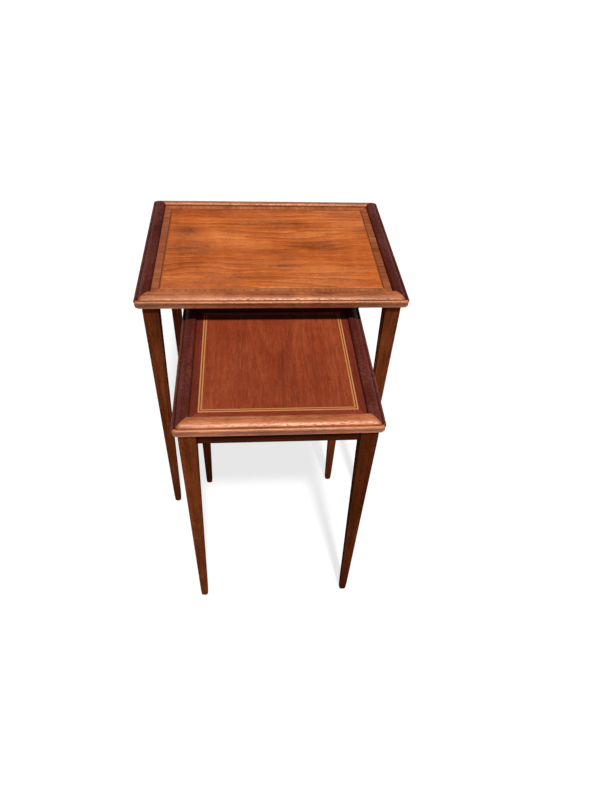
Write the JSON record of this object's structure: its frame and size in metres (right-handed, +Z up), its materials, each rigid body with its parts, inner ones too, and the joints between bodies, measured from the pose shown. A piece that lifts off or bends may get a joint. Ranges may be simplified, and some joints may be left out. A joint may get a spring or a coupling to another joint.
{
  "type": "nesting tables",
  "caption": "Nest of free-standing mahogany side tables with tapered legs, veneered and inlaid tops and a moulded edge; the smaller slides under the larger.",
  "frame": {"origin": "on the floor, under the middle of the pair as it stands with the smaller table drawn out", "axes": "+Z up, +Y from the drawn-out smaller table towards the back of the larger one, +X to the right seen from the smaller table's front"},
  "size_m": [0.455, 0.586, 0.56],
  "materials": {
    "field_veneer_larger": "figured mahogany veneer, orange-brown, polished",
    "field_veneer_smaller": "mahogany veneer with arched figure, red-brown, polished",
    "crossband_veneer": "cross-grained mahogany border, polished",
    "margin_veneer": "dark red mahogany border, polished",
    "string": "dark line beside a fine boxwood line",
    "inlay_strip": "two boxwood lines with a brown line between them",
    "moulding_across": "solid mahogany, polished, worn lighter on its edges",
    "moulding_along": "solid mahogany, polished, darker",
    "leg": "solid mahogany, satin",
    "rail": "solid mahogany, satin",
    "core_board": "softwood core board, stained dark brown underneath",
    "beech": "bare beech",
    "screw_steel": "zinc-plated steel, dulled"
  },
  "bodies": {
    "larger_table": {"outer_back_crossband": "crossband_veneer", "outer_back_left_leg": "leg", "outer_back_moulding": "moulding_across", "outer_back_rail": "rail", "outer_back_right_leg": "leg", "outer_back_string": "string", "outer_block_screws": "screw_steel", "outer_field_veneer": "field_veneer_larger", "outer_front_crossband": "crossband_veneer", "outer_front_left_leg": "leg", "outer_front_moulding": "moulding_across", "outer_front_right_leg": "leg", "outer_front_string": "string", "outer_glue_blocks": "beech", "outer_left_crossband": "crossband_veneer", "outer_left_moulding": "moulding_along", "outer_left_rail": "rail", "outer_left_string": "string", "outer_leg_dowels": "beech", "outer_right_crossband": "crossband_veneer", "outer_right_moulding": "moulding_along", "outer_right_rail": "rail", "outer_right_string": "string", "outer_top_core": "core_board"},
    "smaller_table": {"inner_back_inlay": "inlay_strip", "inner_back_left_leg": "leg", "inner_back_margin": "margin_veneer", "inner_back_moulding": "moulding_across", "inner_back_rail": "rail", "inner_back_right_leg": "leg", "inner_block_screws": "screw_steel", "inner_field_veneer": "field_veneer_smaller", "inner_front_inlay": "inlay_strip", "inner_front_left_leg": "leg", "inner_front_margin": "margin_veneer", "inner_front_moulding": "moulding_across", "inner_front_rail": "rail", "inner_front_right_leg": "leg", "inner_glue_blocks": "beech", "inner_left_inlay": "inlay_strip", "inner_left_margin": "margin_veneer", "inner_left_moulding": "moulding_along", "inner_left_rail": "rail", "inner_leg_dowels": "beech", "inner_right_inlay": "inlay_strip", "inner_right_margin": "margin_veneer", "inner_right_moulding": "moulding_along", "inner_right_rail": "rail", "inner_top_core": "core_board"}
  },
  "joints": [
    {"name": "smaller_table_slide", "type": "slide", "parent": "larger_table", "child": "smaller_table", "axis": [0, -1, 0], "range_m": [-0.23, 0.15]}
  ]
}
